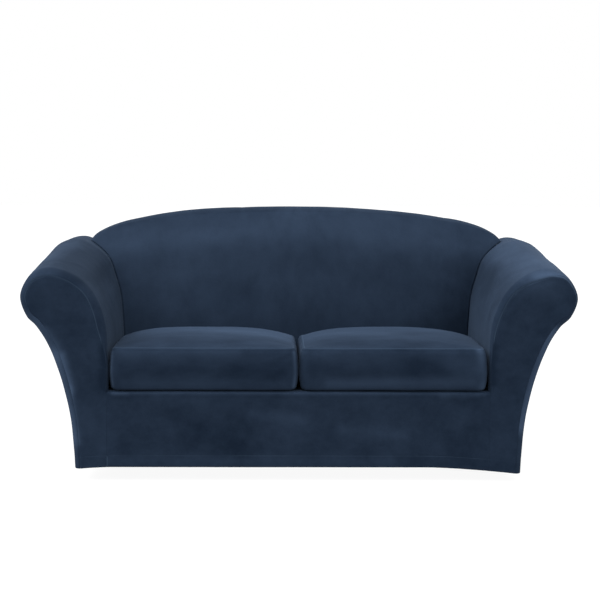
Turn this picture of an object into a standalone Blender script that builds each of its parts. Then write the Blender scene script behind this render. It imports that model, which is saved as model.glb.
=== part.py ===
"""Fitted slipcover of a two-seat sofa, in stretch velvet.

The cover is a body in eight panels (inside back, outside back, two arms, two arm facings,
front rail, seat deck) and two seat-cushion covers, each a top panel sewn to a boxing band
whose lower edge turns under the cushion. The sofa itself is left out, so the cover is hollow.

Lengths are metres. X runs to the right, Y to the back and Z up from the floor that the sofa
stands on. The empty "sofa_floor" carries every panel, and puts that floor where it lies in
the cover's own frame, whose origin is the mount under the top of the back.
"""

import math

import bpy

# ---- driving dimensions -------------------------------------------------------------------

CLOTH = 0.002  # thickness of the velvet
SEAM_GAP = 0.001  # kept between the edges of two panels that are sewn together
DEPTH = 0.860  # front of the facings to the outside back
EDGE = 0.022  # radius to which the arm cloth turns over its front and rear edges
HEM = 0.046  # height of the hem above the floor
DECK = 0.294  # height of the seat deck's top
OPENING = 0.619  # half the width between the arms at the deck
CREST_DEPTH = 0.755  # depth of the highest line of the back
CREST_RISE = 0.126  # how far the arch lifts the middle of that line
CREST_SPAN = 0.111  # depth from the crest to where its roll would come down to nothing
CREST_Z = 0.868  # height of the crest's middle

# Outline of an arm across its length: up from the deck, over the roll, down to the hem.
# station        front x  front z  rear x  rear z
ARM_STATIONS = (
    ("deck",        0.619, 0.292, 0.619, 0.292),
    ("seat",        0.616, 0.398, 0.614, 0.398),
    ("elbow rest",  0.621, 0.490, 0.619, 0.490),
    ("rib",         0.638, 0.556, 0.626, 0.556),
    ("shoulder",    0.667, 0.612, 0.642, 0.613),
    ("neck",        0.711, 0.655, 0.672, 0.688),
    ("inner crest", 0.764, 0.680, 0.740, 0.742),
    ("crest",       0.816, 0.687, 0.790, 0.754),
    ("roll top",    0.866, 0.664, 0.844, 0.735),
    ("roll side",   0.896, 0.600, 0.884, 0.682),
    ("under roll",  0.877, 0.536, 0.876, 0.617),
    ("throat",      0.843, 0.499, 0.847, 0.552),
    ("flank",       0.804, 0.434, 0.808, 0.455),
    ("calf",        0.765, 0.328, 0.768, 0.335),
    ("ankle",       0.737, 0.210, 0.739, 0.210),
    ("hem band",    0.726, 0.105, 0.727, 0.105),
    ("hem",         0.723, 0.046, 0.723, 0.046),
)

# The inside back at the arm stations that it shares with the arms: how deep it lies, and how
# far the arch lifts the middle of its width there.
# station        depth  rise
BACK_STATIONS = (
    ("deck",        0.590, 0.000),
    ("seat",        0.596, 0.000),
    ("elbow rest",  0.604, 0.000),
    ("rib",         0.615, 0.010),
    ("shoulder",    0.628, 0.030),
    ("neck",        0.648, 0.062),
    ("inner crest", 0.700, 0.108),
)
SEAM_STATION = len(BACK_STATIONS) - 1  # from here back, the seam runs over the arm's top
HEM_STATION = len(ARM_STATIONS) - 1
TURN_STATIONS = 1.5  # how many stations the front edge's turn takes to grow to its full size
DROOP_STATIONS = 3  # how many stations above the hem are drawn down where it droops

# Corners where the hem hangs lower than elsewhere.
# corner         x       y     drop   reach
HEM_DROPS = (
    ("front right", 0.723, 0.0, 0.022, 0.30),
    ("front left", -0.723, 0.0, 0.007, 0.12),
)

# A cushion cover's boxing, from the edge under the cushion to the seam with the top panel.
# line            offset    z
BAND_LINES = (
    ("elastic edge", -0.070, 0.298),
    ("turn under",   -0.020, 0.298),
    ("lower round",  -0.006, 0.303),
    ("lower edge",    0.000, 0.316),
    ("waist",         0.003, 0.367),
    ("upper edge",    0.000, 0.415),
    ("upper round",  -0.004, 0.427),
    ("top seam",     -0.010, 0.433),
)
CUSHION_X = 0.304  # centre of a cushion from the middle of the sofa
CUSHION_HALF_WIDTH = 0.300
CUSHION_FRONT = -0.006
CUSHION_BACK = 0.582
CUSHION_CORNER = 0.032  # radius of a cushion's corners, seen from above
CUSHION_CROWN = 0.019  # how far the middle of the top stands above its seam
LEAST_CORNER = 0.006

RAIL_ROUND = 0.030  # radius of the rail's top front edge
RAIL_LIP = 0.100  # depth at which the rail's cloth is sewn to the deck

PAD_INSET = 0.018  # from a facing's edge to its padded middle
PAD_HEIGHT = 0.004  # how far that middle stands proud
DECK_CLEARANCE = 0.0012  # between a facing's inner corner and the deck
REAR_CLEARANCE = 0.0015  # between the outside back and the turned edges round it

# ---- how finely the panels are cut ---------------------------------------------------------

EDGE_STEPS = 4
ARM_BODY_ROWS = 5
ROLL_DEPTHS = (0.728, 0.755, 0.785, 0.815)  # rows over the top of the back
BACK_COLUMNS = 22
RAIL_COLUMNS = 16
RAIL_HEIGHTS = (0.10, 0.18)  # cuts of the rail between the hem and its rounded edge
CORNER_STEPS = 4
SIDE_STEPS = 3
TOP_COLUMNS = 10
STATION_STEP = 0.05  # part of a station over which an outline's direction is read

# ---- the cloth's finish ---------------------------------------------------------------------

VELVET = (0.022, 0.036, 0.062)
VELVET_ROUGHNESS = 0.85


# ---- small geometry -------------------------------------------------------------------------


def blend(a, b, share):
    """The point that lies at this share of the way from a to b."""
    return tuple(p + (q - p) * share for p, q in zip(a, b))


def on_curve(points, t):
    """A smooth curve through the points, read at t, where t counts points from 0."""
    last = len(points) - 1
    i = min(int(t), last - 1)
    f = t - i
    p1, p2 = points[i], points[i + 1]
    p0 = points[i - 1] if i else blend(p2, p1, 2)
    p3 = points[i + 2] if i + 2 <= last else blend(p1, p2, 2)
    return tuple(
        0.5 * (2 * b + (c - a) * f + (2 * a - 5 * b + 4 * c - d) * f**2 + (3 * b - a - 3 * c + d) * f**3)
        for a, b, c, d in zip(p0, p1, p2, p3)
    )


def ease(t):
    """Rises smoothly from 0 to 1 as t does."""
    t = min(max(t, 0.0), 1.0)
    return t * t * (3 - 2 * t)


def hem_height(x, y):
    """Height of the hem at a place, lower near the corners where it hangs down."""
    z = HEM
    for _, corner_x, corner_y, drop, reach in HEM_DROPS:
        near = max(0.0, 1 - math.hypot(x - corner_x, y - corner_y) / reach)
        z -= drop * near**1.5
    return z


def quarter_turn():
    """(distance in from the edge's plane, distance in from its side) around a turned edge."""
    for step in range(EDGE_STEPS + 1):
        angle = math.pi / 2 * step / EDGE_STEPS
        yield EDGE * (1 - math.cos(angle)), EDGE * (1 - math.sin(angle))


# ---- the arms -------------------------------------------------------------------------------


def arm_columns():
    """The stations at which an arm is cut: close together over the roll, wider down the side."""
    fine_from, fine_to = 2, 13
    columns = [float(t) for t in range(fine_from)]
    columns += [fine_from + k / 2 for k in range(2 * (fine_to - fine_from))]
    return columns + [float(t) for t in range(fine_to, HEM_STATION + 1)]


def arm_point(side, t, y, turned_in=0.0):
    """A point of an arm's cloth at station t and depth y. side is 1 on the right, -1 on the left."""
    share = min(max((y - EDGE) / (BACK_STATIONS[0][1] - EDGE), 0.0), 1.0)
    outline = [blend(row[1:3], row[3:5], share) for row in ARM_STATIONS]
    x, z = on_curve(outline, t)
    before = on_curve(outline, max(t - STATION_STEP, 0.0))
    after = on_curve(outline, min(t + STATION_STEP, HEM_STATION))
    along_x, along_z = after[0] - before[0], after[1] - before[1]
    length = math.hypot(along_x, along_z)
    x += turned_in * along_z / length
    hem_share = ease((t - HEM_STATION) / DROOP_STATIONS + 1)
    z -= turned_in * along_x / length * (1 - hem_share)
    z += hem_share * (hem_height(side * x, y) - HEM)
    return side * x, y, z


def turn_share(t):
    """How much of the front edge's turn there is at station t: none at the deck, all above the seat."""
    return ease(t / TURN_STATIONS)


def face_point(t):
    """(depth, rise) of the inside back at one of the stations that it shares with the arms."""
    return on_curve([row[1:] for row in BACK_STATIONS], t)


def arm_column(side, t):
    """An arm's cloth at one station, from the facing to the inside back or the rear seam."""
    points = [
        arm_point(side, t, y, turned_in * turn_share(t)) for y, turned_in in quarter_turn()
    ]
    end = face_point(min(t, SEAM_STATION))[0]
    for row in range(1, ARM_BODY_ROWS + 1):
        y = EDGE + (end - EDGE) * row / ARM_BODY_ROWS
        points.append(arm_point(side, t, y))
    if t >= SEAM_STATION:
        points += [arm_point(side, t, y) for y in ROLL_DEPTHS]
        rear = [(DEPTH - y, turned_in) for y, turned_in in quarter_turn()]
        points += [arm_point(side, t, y, turned_in) for y, turned_in in reversed(rear)]
    return points


FACE_ROW = EDGE_STEPS + ARM_BODY_ROWS  # the arm's row that meets the inside back


def build_arm(name, side):
    """One panel up the inner side of an arm, over its roll and down to the hem."""
    columns = [arm_column(side, t) for t in arm_columns()]
    return make_panel(name, columns, flip=side > 0)


def side_seam(side):
    """The seam between an arm and the inside back, from the deck up and over to the rear."""
    face = [arm_column(side, t)[FACE_ROW] for t in arm_columns() if t <= SEAM_STATION]
    return face + arm_column(side, float(SEAM_STATION))[FACE_ROW + 1 :]


def build_facing(name, side):
    """The flat panel on the front of an arm, with its middle slightly padded out."""
    inner_x = OPENING
    rim = [(inner_x, hem_height(side * inner_x, 0.0)), (inner_x, DECK - CLOTH - DECK_CLEARANCE)]
    for t in arm_columns():
        turn = turn_share(t)
        inset = EDGE * turn + SEAM_GAP + CLOTH * (1 - turn)
        x, _, z = arm_point(side, t, 0.0, inset)
        rim.append((side * x, z))
    outer = [(side * x, 0.0, z) for x, z in rim]
    inner = [(side * x, -PAD_HEIGHT, z) for x, z in offset_outline(rim, PAD_INSET)]
    return make_capped(name, outer, inner, flip=side > 0)


# ---- the back -------------------------------------------------------------------------------


def back_rises():
    """How far the arch lifts each row of the inside back at its middle."""
    rises = [face_point(t)[1] for t in arm_columns() if t <= SEAM_STATION]
    for _, y, _ in side_seam(1)[len(rises) :]:
        rises.append(CREST_RISE * math.sqrt(1 - ((y - CREST_DEPTH) / CREST_SPAN) ** 2))
    return rises


def back_row(end, rise):
    """One row of the inside back between its two side seams, arched over its width."""
    half, y, z = end[0] - SEAM_GAP, end[1], end[2]
    row = []
    for k in range(BACK_COLUMNS + 1):
        angle = math.pi * (k / BACK_COLUMNS - 0.5)
        row.append((half * math.sin(angle), y, z + rise * math.cos(angle)))
    return row


def build_inside_back(name):
    """One panel from the deck up the back and over its arched top to the seam at the rear."""
    rows = [back_row(end, rise) for end, rise in zip(side_seam(1), back_rises())]
    return make_panel(name, rows, flip=False)


def build_outside_back(name):
    """The flat panel behind the sofa: under the arch, round both rolls and down to the hem."""
    arch = [(x, z) for x, _, z in back_row(side_seam(1)[-1], back_rises()[-1])]
    outer = [t for t in arm_columns() if t > SEAM_STATION]
    rims = {}
    for side in (1, -1):
        points = [arm_point(side, t, DEPTH, EDGE) for t in outer]
        rims[side] = [(x, z) for x, _, z in points]
    outline = arch + rims[1] + rims[-1][::-1]
    outline = offset_outline(outline, REAR_CLEARANCE)
    return make_flat(name, [(x, DEPTH, z) for x, z in outline])


# ---- the rail and the deck ------------------------------------------------------------------


def build_front_rail(name):
    """The panel under the cushions' fronts, turned over the seat's edge and sewn to the deck."""
    half = OPENING - SEAM_GAP
    rows = []
    for k in range(RAIL_COLUMNS + 1):
        x = half * (2 * k / RAIL_COLUMNS - 1)
        column = [(x, 0.0, hem_height(x, 0.0))]
        column += [(x, 0.0, z) for z in (*RAIL_HEIGHTS, DECK - RAIL_ROUND)]
        for step in range(1, EDGE_STEPS + 1):
            angle = math.pi / 2 * step / EDGE_STEPS
            y = RAIL_ROUND * (1 - math.cos(angle))
            column.append((x, y, DECK - RAIL_ROUND * (1 - math.sin(angle))))
        column.append((x, RAIL_LIP - SEAM_GAP, DECK))
        rows.append(column)
    return make_panel(name, rows, flip=True)


def build_seat_deck(name):
    """The flat panel under the cushions, between the arms."""
    half = OPENING - SEAM_GAP
    front, rear = RAIL_LIP, BACK_STATIONS[0][1] - SEAM_GAP
    corners = ((-half, front), (half, front), (half, rear), (-half, rear))
    return make_flat(name, [(x, y, DECK) for x, y in corners])


# ---- the cushion covers ---------------------------------------------------------------------


def cushion_outline(side, offset):
    """A cushion's outline seen from above, moved out by offset, anticlockwise from the front."""
    centre_y = (CUSHION_FRONT + CUSHION_BACK) / 2
    half_x = CUSHION_HALF_WIDTH + offset
    half_y = (CUSHION_BACK - CUSHION_FRONT) / 2 + offset
    radius = max(CUSHION_CORNER + offset, LEAST_CORNER)
    points = []
    for corner, (sign_x, sign_y) in enumerate(((1, -1), (1, 1), (-1, 1), (-1, -1))):
        for step in range(CORNER_STEPS + 1):
            angle = math.pi / 2 * (corner - 1 + step / CORNER_STEPS)
            x = sign_x * (half_x - radius) + radius * math.cos(angle)
            y = sign_y * (half_y - radius) + radius * math.sin(angle)
            points.append((side * CUSHION_X + x, centre_y + y))
    closed = []
    for here, after in zip(points, points[1:] + points[:1]):
        closed.append(here)
        if math.dist(here, after) > half_y:
            closed += [blend(here, after, k / SIDE_STEPS) for k in range(1, SIDE_STEPS)]
    return closed


def build_cushion_band(name, side):
    """The boxing round a cushion, with its lower edge turned under and gathered on elastic."""
    rows = [[(x, y, z) for x, y in cushion_outline(side, offset)] for _, offset, z in BAND_LINES]
    return make_panel(name, rows, flip=False, closed=True)


def build_cushion_top(name, side):
    """The crowned top panel of a cushion cover."""
    _, offset, seam_z = BAND_LINES[-1]
    outline = cushion_outline(side, offset - SEAM_GAP - CLOTH)
    centre_x = side * CUSHION_X
    side_from = centre_x + CUSHION_HALF_WIDTH - 2 * CUSHION_CORNER
    right = sorted((p for p in outline if p[0] > side_from), key=lambda p: p[1])
    front, rear = right[0][1], right[-1][1]
    rows = []
    for x, y in right:
        along = 2 * (y - front) / (rear - front) - 1
        row = []
        for k in range(TOP_COLUMNS + 1):
            across = math.sin(math.pi / 2 * (2 * k / TOP_COLUMNS - 1))
            lift = CUSHION_CROWN * (1 - abs(across) ** 3) * (1 - abs(along) ** 3)
            row.append((centre_x + (x - centre_x) * across, y, seam_z + lift))
        rows.append(row)
    return make_panel(name, rows, flip=False)


# ---- meshes ---------------------------------------------------------------------------------


def offset_outline(outline, inset):
    """A clockwise outline moved in by inset. Its hem corners move straight across."""
    moved = []
    for k, (x, z) in enumerate(outline):
        (x0, z0), (x1, z1) = outline[k - 1], outline[(k + 1) % len(outline)]
        along_x, along_z = x1 - x0, z1 - z0
        length = math.hypot(along_x, along_z)
        if z < HEM + CLOTH:
            moved.append((x + math.copysign(inset, x1 + x0 - 2 * x), z))
        else:
            moved.append((x + inset * along_z / length, z - inset * along_x / length))
    return moved


def finish_panel(name, points, faces):
    """A cloth panel from its outer surface, thickened inwards."""
    mesh = bpy.data.meshes.new(name)
    mesh.from_pydata(points, [], faces)
    mesh.validate()
    mesh.shade_smooth()
    panel = bpy.data.objects.new(name, mesh)
    bpy.context.scene.collection.objects.link(panel)
    wall = panel.modifiers.new("cloth", "SOLIDIFY")
    wall.thickness = CLOTH
    wall.offset = -1
    wall.use_even_offset = True
    mesh.materials.append(velvet(name))
    return panel


def make_panel(name, rows, flip, closed=False):
    """A panel woven between rows of points. Rows may be shorter at the start of the list."""
    start, points = [], []
    for row in rows:
        start.append(len(points))
        points += row
    faces = []
    for n in range(len(rows) - 1):
        shorter = min(len(rows[n]), len(rows[n + 1]))
        for k in range(shorter if closed else shorter - 1):
            after = (k + 1) % shorter
            corners = (start[n] + k, start[n] + after, start[n + 1] + after, start[n + 1] + k)
            faces.append(corners[::-1] if flip else corners)
    return finish_panel(name, points, faces)


def make_flat(name, outline):
    """A flat panel inside an outline."""
    return finish_panel(name, outline, [tuple(range(len(outline)))])


def make_capped(name, outer, inner, flip):
    """A flat panel inside an outline whose middle, inside a second outline, stands proud."""
    count = len(outer)
    ring = [(k, (k + 1) % count, count + (k + 1) % count, count + k) for k in range(count)]
    faces = ring + [tuple(range(count, 2 * count))]
    if flip:
        faces = [face[::-1] for face in faces]
    return finish_panel(name, outer + inner, faces)


def velvet(name):
    """The panel's own material."""
    material = bpy.data.materials.new(name)
    material.use_nodes = True
    shader = material.node_tree.nodes["Principled BSDF"]
    shader.inputs["Base Color"].default_value = (*VELVET, 1)
    shader.inputs["Roughness"].default_value = VELVET_ROUGHNESS
    shader.inputs["Metallic"].default_value = 0.0
    return material


def main():
    for thing in list(bpy.data.objects):
        bpy.data.objects.remove(thing)
    floor = bpy.data.objects.new("sofa_floor", None)
    floor.location = (0, -CREST_DEPTH, CLOTH - CREST_Z)
    bpy.context.scene.collection.objects.link(floor)

    panels = [
        build_inside_back("inside_back"),
        build_outside_back("outside_back"),
        build_front_rail("front_rail"),
        build_seat_deck("seat_deck"),
    ]
    for word, side in (("left", -1), ("right", 1)):
        panels += [
            build_arm(f"arm_{word}", side),
            build_facing(f"arm_facing_{word}", side),
            build_cushion_band(f"cushion_band_{word}", side),
            build_cushion_top(f"cushion_top_{word}", side),
        ]
    for panel in panels:
        panel.parent = floor


main()
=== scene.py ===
"""Velvet and studio for a fitted slipcover of a two-seat sofa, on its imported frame.

Each panel of cloth is a smooth surface read from the outline of the sofa underneath. It is drawn
in along its seams, given soft folds, turned up at its hem and thickened. Points are worked out
over the floor that the sofa stands on, and then put where the frame has the cover: X runs to the
right, Y to the back and Z up, in metres.
"""

import math

import bpy
import numpy as np
from bpy.props import FloatProperty, FloatVectorProperty, PointerProperty
from bpy.types import Operator, Panel, PropertyGroup
from mathutils import Matrix, Vector, noise
from mathutils.geometry import delaunay_2d_cdt


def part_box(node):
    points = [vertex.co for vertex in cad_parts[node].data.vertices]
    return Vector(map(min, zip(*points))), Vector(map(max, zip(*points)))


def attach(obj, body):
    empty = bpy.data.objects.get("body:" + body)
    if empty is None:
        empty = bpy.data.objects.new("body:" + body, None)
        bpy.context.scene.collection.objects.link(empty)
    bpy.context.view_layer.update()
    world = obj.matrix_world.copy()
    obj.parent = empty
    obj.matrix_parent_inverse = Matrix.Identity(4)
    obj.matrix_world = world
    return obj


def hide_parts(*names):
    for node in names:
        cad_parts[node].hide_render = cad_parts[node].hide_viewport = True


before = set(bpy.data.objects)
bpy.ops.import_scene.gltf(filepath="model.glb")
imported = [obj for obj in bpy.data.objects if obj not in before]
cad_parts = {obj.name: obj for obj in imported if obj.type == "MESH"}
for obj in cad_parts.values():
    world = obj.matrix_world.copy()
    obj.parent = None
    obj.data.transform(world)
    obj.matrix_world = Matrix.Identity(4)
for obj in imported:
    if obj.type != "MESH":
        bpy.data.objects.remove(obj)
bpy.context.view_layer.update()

bl_info = {
    "name": "Sofa slipcover",
    "version": (1, 0, 0),
    "blender": (4, 5, 0),
    "location": "3D View > Sidebar > Slipcover",
    "description": "Sews the panels of a velvet slipcover for a two-seat sofa and sets up its studio",
    "category": "Add Mesh",
}

# ---- sizes that the frame gives -------------------------------------------------------------

DEPTH = 0.860  # front of the facings to the outside back
CREST_Z = 0.868  # height of the crest's middle above the floor
FLOOR = np.array((0.0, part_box("outside_back")[1].y - DEPTH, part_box("inside_back")[1].z - CREST_Z))
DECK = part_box("seat_deck")[1].z - FLOOR[2]

# ---- the sofa's outline under the cloth -----------------------------------------------------

EDGE = 0.022  # depth over which the arm cloth turns round its front and rear edges
HEM = 0.048  # height of the hem above the floor
OPENING = 0.619  # half the width between the arms at the deck
CREST_DEPTH = 0.755  # depth of the crest, where the back is highest
CREST_RISE = 0.126  # how far the middle of the crest stands above its ends
CREST_SPAN = 0.111  # half the depth of the ellipse that the crest follows
SEAM_GAP = 0.0003  # between the edges of two panels that are sewn together
TINY = 1e-12  # keeps a division by a length of nothing from failing

# Outline of an arm across its length: up from the deck, over the roll, down to the hem, and
# how far the seam with the facing lies in from it.
# station        front x  front z  rear x  rear z  left in  right in
ARM_STATIONS = (
    ("deck",        0.619, 0.292, 0.619, 0.292, 0.000, 0.000),
    ("seat",        0.616, 0.398, 0.614, 0.398, 0.004, 0.005),
    ("elbow rest",  0.621, 0.490, 0.619, 0.490, 0.024, 0.014),
    ("rib",         0.638, 0.556, 0.626, 0.556, 0.024, 0.019),
    ("shoulder",    0.667, 0.612, 0.642, 0.613, 0.021, 0.020),
    ("neck",        0.711, 0.655, 0.672, 0.688, 0.022, 0.024),
    ("inner crest", 0.764, 0.680, 0.740, 0.742, 0.022, 0.026),
    ("crest",       0.816, 0.687, 0.790, 0.754, 0.023, 0.021),
    ("roll top",    0.866, 0.664, 0.844, 0.735, 0.022, 0.012),
    ("roll side",   0.896, 0.600, 0.884, 0.682, 0.020, 0.010),
    ("under roll",  0.877, 0.536, 0.876, 0.617, 0.020, 0.014),
    ("throat",      0.843, 0.499, 0.847, 0.552, 0.022, 0.018),
    ("flank",       0.804, 0.434, 0.808, 0.455, 0.024, 0.020),
    ("calf",        0.765, 0.328, 0.768, 0.335, 0.022, 0.022),
    ("ankle",       0.737, 0.210, 0.739, 0.210, 0.020, 0.020),
    ("hem band",    0.726, 0.105, 0.727, 0.105, 0.018, 0.018),
    ("hem",         0.723, 0.048, 0.723, 0.048, 0.018, 0.018),
)

# The inside back at the arm stations that it shares with the arms.
# station        depth  rise
BACK_STATIONS = (
    ("deck",        0.590, 0.000),
    ("seat",        0.596, 0.000),
    ("elbow rest",  0.604, 0.000),
    ("rib",         0.615, 0.010),
    ("shoulder",    0.628, 0.030),
    ("neck",        0.648, 0.062),
    ("inner crest", 0.700, 0.108),
)
SEAM_STATION = len(BACK_STATIONS) - 1
HEM_STATION = len(ARM_STATIONS) - 1

# The arms aren't alike: the left one is -1 here and the right one is 1.
CRISPNESS = {-1: 42, 1: 50}  # degrees from the facing's plane at which the front turn starts
# Where the front turn is deeper: how much deeper, at which station, over how many stations.
DEEP_TURN = {-1: (1.3, 4.6, 3.2), 1: (1.4, 6.8, 1.9)}
ROLL_SWELL = {-1: 0.0, 1: 0.006}  # how far the front of the roll swells out
ROLL_STATION = 9.2
ROLL_REACH = 1.3  # stations to either side of the roll that swell with it
HEM_STATIONS = 3  # stations over which an arm comes to follow the hem
NEXT_STATION = 0.05  # how far to either side an arm's heading is read

# Corners where the hem hangs lower than elsewhere.
# corner         x       y     drop   reach
HEM_DROPS = (
    ("front right", 0.723, 0.0, 0.022, 0.30),
    ("front left", -0.723, 0.0, 0.007, 0.12),
)

# A cushion cover's boxing, from the edge under the cushion to the seam with the top panel.
# line            offset    z
BAND_LINES = (
    ("elastic edge", -0.070, 0.2965),
    ("turn under",   -0.018, 0.2965),
    ("lower round",  -0.008, 0.2995),
    ("lower edge",   -0.002, 0.309),
    ("waist",         0.004, 0.355),
    ("upper edge",    0.000, 0.408),
    ("upper round",  -0.005, 0.425),
    ("top seam",     -0.011, 0.433),
)
CUSHION_X = 0.3060  # from the middle of the sofa to the middle of a cushion
CUSHION_HALF_WIDTH = 0.3022
CUSHION_FRONT = -0.006
CUSHION_BACK = 0.582
CUSHION_CORNER = 0.032  # radius of its upright corners
LEAST_CORNER = 0.006
CUSHION_CROWN = 0.028  # how far its middle stands above its top seam
CROWN_FLATNESS = 4  # 2 gives an even dome, and more gives a flatter top
CORNER_SAG = 0.017  # how far its rear corners sink
CORNER_REACH = 0.14

RAIL_ROUND = 0.011  # radius of the front rail's turn onto the deck
RAIL_LIP = 0.100  # depth on the deck at which the front rail is sewn to it
FACING_PADDING = 0.004  # how far a facing is padded out in its middle
FACING_SLOPES = (0.030, 0.09, 0.15)  # how wide it slopes beside the arm, the cushion and the hem
CREST_PAINTED_SHADE = 0.9  # painted shade where the inside back turns over its top, darker as its cloth faces up
CREST_TURN = (0.40, 0.35)  # how far up the cloth faces where that starts, and over how much more

# ---- soft folds in the cloth, each a ridge or a trough that fades out at both ends -----------
# fold, start (x, y, z), end (x, y, z), half width, height (a trough where it is negative)
FOLDS = {
    "inside_back": (
        ("full left shoulder", (-0.69, 0.73, 0.765), (-0.20, 0.75, 0.866), 0.060, 0.0060),
        ("full right shoulder", (0.54, 0.74, 0.82), (0.69, 0.73, 0.765), 0.045, 0.0035),
        ("slack low on the left", (-0.40, 0.62, 0.60), (-0.12, 0.61, 0.52), 0.050, -0.0026),
        ("slack low on the right", (0.14, 0.62, 0.62), (0.46, 0.61, 0.52), 0.050, -0.0024),
        ("pull from the left seam", (-0.64, 0.66, 0.72), (-0.44, 0.65, 0.66), 0.022, 0.0022),
        ("pull from the right seam", (0.66, 0.66, 0.73), (0.50, 0.65, 0.66), 0.022, 0.0020),
    ),
    "arm_left": (
        ("pull from the crest to the back", (-0.80, 0.30, 0.71), (-0.70, 0.66, 0.70), 0.020, 0.0022),
        ("slack beside the pull", (-0.83, 0.34, 0.70), (-0.73, 0.67, 0.72), 0.016, -0.0018),
        ("slack inside the arm", (-0.64, 0.16, 0.56), (-0.66, 0.52, 0.64), 0.030, -0.0020),
        ("crease over the crest", (-0.86, 0.10, 0.68), (-0.76, 0.13, 0.70), 0.008, 0.0016),
        ("crease above the neck", (-0.78, 0.16, 0.70), (-0.70, 0.24, 0.68), 0.009, 0.0015),
    ),
    "arm_right": (
        ("pull from the roll to the back", (0.87, 0.24, 0.68), (0.84, 0.50, 0.72), 0.030, -0.0030),
        ("slack inside the arm", (0.64, 0.14, 0.56), (0.66, 0.50, 0.64), 0.034, -0.0018),
        ("drag down the inside", (0.70, 0.10, 0.64), (0.64, 0.22, 0.52), 0.014, 0.0014),
    ),
    "cushion_top_left": (
        ("pinch at the front corner", (-0.012, 0.006, 0.434), (-0.085, 0.050, 0.455), 0.006, 0.0032),
        ("pinch beside it", (-0.040, 0.000, 0.434), (-0.105, 0.035, 0.450), 0.005, 0.0024),
        ("slack behind the pinch", (-0.012, 0.040, 0.436), (-0.080, 0.095, 0.458), 0.009, -0.0020),
        ("dent towards the back", (-0.42, 0.34, 0.46), (-0.20, 0.38, 0.46), 0.070, -0.0022),
    ),
    "cushion_top_right": (
        ("pinch at the front corner", (0.012, 0.006, 0.434), (0.085, 0.045, 0.455), 0.006, 0.0032),
        ("pinch beside it", (0.045, 0.000, 0.434), (0.120, 0.030, 0.450), 0.005, 0.0024),
        ("drag to the outer corner", (0.44, 0.06, 0.455), (0.59, 0.01, 0.438), 0.014, 0.0018),
    ),
    "cushion_band_left": (
        ("drag from the corner", (-0.020, -0.005, 0.425), (-0.110, -0.010, 0.385), 0.008, 0.0014),
        ("drag below it", (-0.016, -0.004, 0.400), (-0.090, -0.010, 0.350), 0.010, 0.0012),
    ),
    "cushion_band_right": (
        ("drag from the inner corner", (0.020, -0.005, 0.425), (0.120, -0.010, 0.390), 0.008, 0.0014),
        ("slack at the outer corner", (0.585, 0.01, 0.42), (0.560, -0.008, 0.34), 0.016, -0.0024),
    ),
    "front_rail": (
        ("roll along the seat's edge", (-0.75, 0.0, 0.286), (0.75, 0.0, 0.286), 0.007, 0.0024),
        ("drag towards the right arm", (0.50, 0.0, 0.262), (0.60, 0.0, 0.283), 0.005, 0.0018),
        ("ridge under the left cushion", (-0.615, 0.0, 0.284), (-0.535, 0.0, 0.272), 0.006, 0.0022),
        ("ridge under the gap", (-0.03, 0.0, 0.280), (0.10, 0.0, 0.274), 0.007, 0.0014),
        ("ridge under the right cushion", (0.42, 0.0, 0.276), (0.60, 0.0, 0.285), 0.007, 0.0018),
        ("slack across the right", (0.20, 0.0, 0.20), (0.46, 0.0, 0.175), 0.030, -0.0020),
        ("slack across the left", (-0.46, 0.0, 0.205), (-0.22, 0.0, 0.180), 0.034, -0.0018),
    ),
    "arm_facing_left": (
        ("slack under the roll", (-0.86, 0.0, 0.60), (-0.72, 0.0, 0.47), 0.030, -0.0024),
    ),
    "arm_facing_right": (
        ("slack under the roll", (0.87, 0.0, 0.60), (0.74, 0.0, 0.46), 0.032, -0.0024),
    ),
}

# Painted light and shade in patches: paler above 0, where more light falls, and darker below 0, where
# shade falls.
# patch, centre (x, y, z), reach (x, y, z), amount
PAINTED_LIGHT_PATCHES = {
    "inside_back": (
        ("painted light all over", (0.0, 0.65, 0.60), (3.0, 3.0, 3.0), 0.30),
        ("painted highlight over the top", (0.0, 0.75, 0.86), (1.40, 0.60, 0.22), 0.50),
        ("painted light left of the middle", (-0.48, 0.63, 0.68), (0.30, 0.20, 0.12), 0.38),
        ("painted light low on the left", (-0.50, 0.60, 0.46), (0.25, 0.30, 0.09), 0.30),
        ("shaded right end", (0.58, 0.60, 0.46), (0.16, 0.30, 0.20), -0.36),
    ),
    "arm_left": (
        ("shaded inner crest", (-0.71, 0.25, 0.68), (0.07, 0.32, 0.07), -1.10),
    ),
    "arm_right": (
        ("painted highlight over the roll", (0.84, 0.30, 0.70), (0.16, 0.60, 0.07), 1.1),
        ("shaded beside the back", (0.65, 0.42, 0.65), (0.06, 0.30, 0.09), -0.80),
    ),
}
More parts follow.
